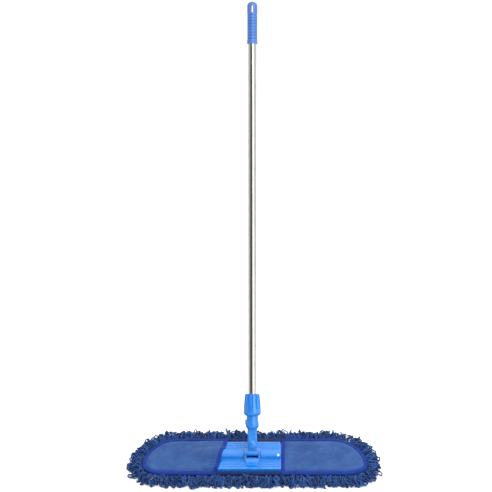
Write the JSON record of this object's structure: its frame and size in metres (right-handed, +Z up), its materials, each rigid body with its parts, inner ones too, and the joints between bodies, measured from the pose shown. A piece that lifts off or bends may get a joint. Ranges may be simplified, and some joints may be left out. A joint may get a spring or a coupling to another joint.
{
  "type": "flat mop",
  "caption": "Flat floor mop: fringed textile pad in two pockets over a flat plate, double-jointed socket with a fluted lock nut, steel handle tube and ribbed grip.",
  "frame": {"origin": "on the floor, under the middle of the centre plate", "axes": "+Z up; +X along the pad, towards the end with the lock button; -Y towards the front, so the handle leans back towards +Y"},
  "size_m": [0.652, 0.7165, 1.0103],
  "materials": {
    "blue_plastic": "satin",
    "grip_plastic": "satin",
    "plug_plastic": "matte",
    "stainless_tube": "polished",
    "plated_steel": "polished",
    "pocket_cloth": "matte",
    "binding_tape": "matte",
    "backing_cloth": "matte",
    "pad_yarn": "matte"
  },
  "bodies": {
    "frame": {"centre_plate": "blue_plastic", "left_board": "blue_plastic", "board_rivets": "plated_steel", "button_spring": "plated_steel", "spring_seat": "blue_plastic", "swivel_bracket": "blue_plastic", "bracket_screws": "plated_steel", "tilt_pin": "blue_plastic", "pad_pile": "pad_yarn", "pad_backing": "backing_cloth", "left_binding": "binding_tape", "right_binding": "binding_tape", "left_pocket": "pocket_cloth", "right_pocket": "pocket_cloth", "left_hem": "binding_tape", "right_hem": "binding_tape", "fringe_front": "pad_yarn", "fringe_rear": "pad_yarn", "fringe_left": "pad_yarn", "fringe_right": "pad_yarn"},
    "extension": {"right_board": "blue_plastic"},
    "button": {"lock_button": "plated_steel"},
    "knuckle": {"knuckle": "blue_plastic"},
    "socket": {"handle_socket": "blue_plastic", "swivel_pin": "blue_plastic", "swivel_washer": "plated_steel"},
    "nut": {"lock_nut": "blue_plastic"},
    "handle": {"handle_tube": "stainless_tube", "tube_plug": "plug_plastic", "hand_grip": "grip_plastic"}
  },
  "joints": [
    {"name": "head_tilt", "type": "hinge", "parent": "frame", "child": "knuckle", "pos_m": [0, -0.006, 0.035], "axis": [1, 0, 0], "range_deg": [-44, 85]},
    {"name": "side_swivel", "type": "hinge", "parent": "knuckle", "child": "socket", "pos_m": [0, 0.00566, 0.05366], "axis": [0, 0.848, -0.5299], "range_deg": [-60, 60]},
    {"name": "nut_turn", "type": "hinge", "parent": "socket", "child": "nut", "pos_m": [0, 0.05759, 0.13677], "axis": [0, 0.5299, 0.848], "range_deg": [0, 270]},
    {"name": "tube_slide", "type": "slide", "parent": "socket", "child": "handle", "axis": [0, 0.5299, 0.848], "range_m": [0, 0.05]},
    {"name": "board_slide", "type": "slide", "parent": "frame", "child": "extension", "axis": [1, 0, 0], "range_m": [-0.075, 0]},
    {"name": "button_press", "type": "slide", "parent": "frame", "child": "button", "axis": [0, 0.7071, -0.7071], "range_m": [0, 0.0024], "stiffness_N_per_m": 600, "springref_m": -0.002, "deforming": ["button_spring"]}
  ]
}
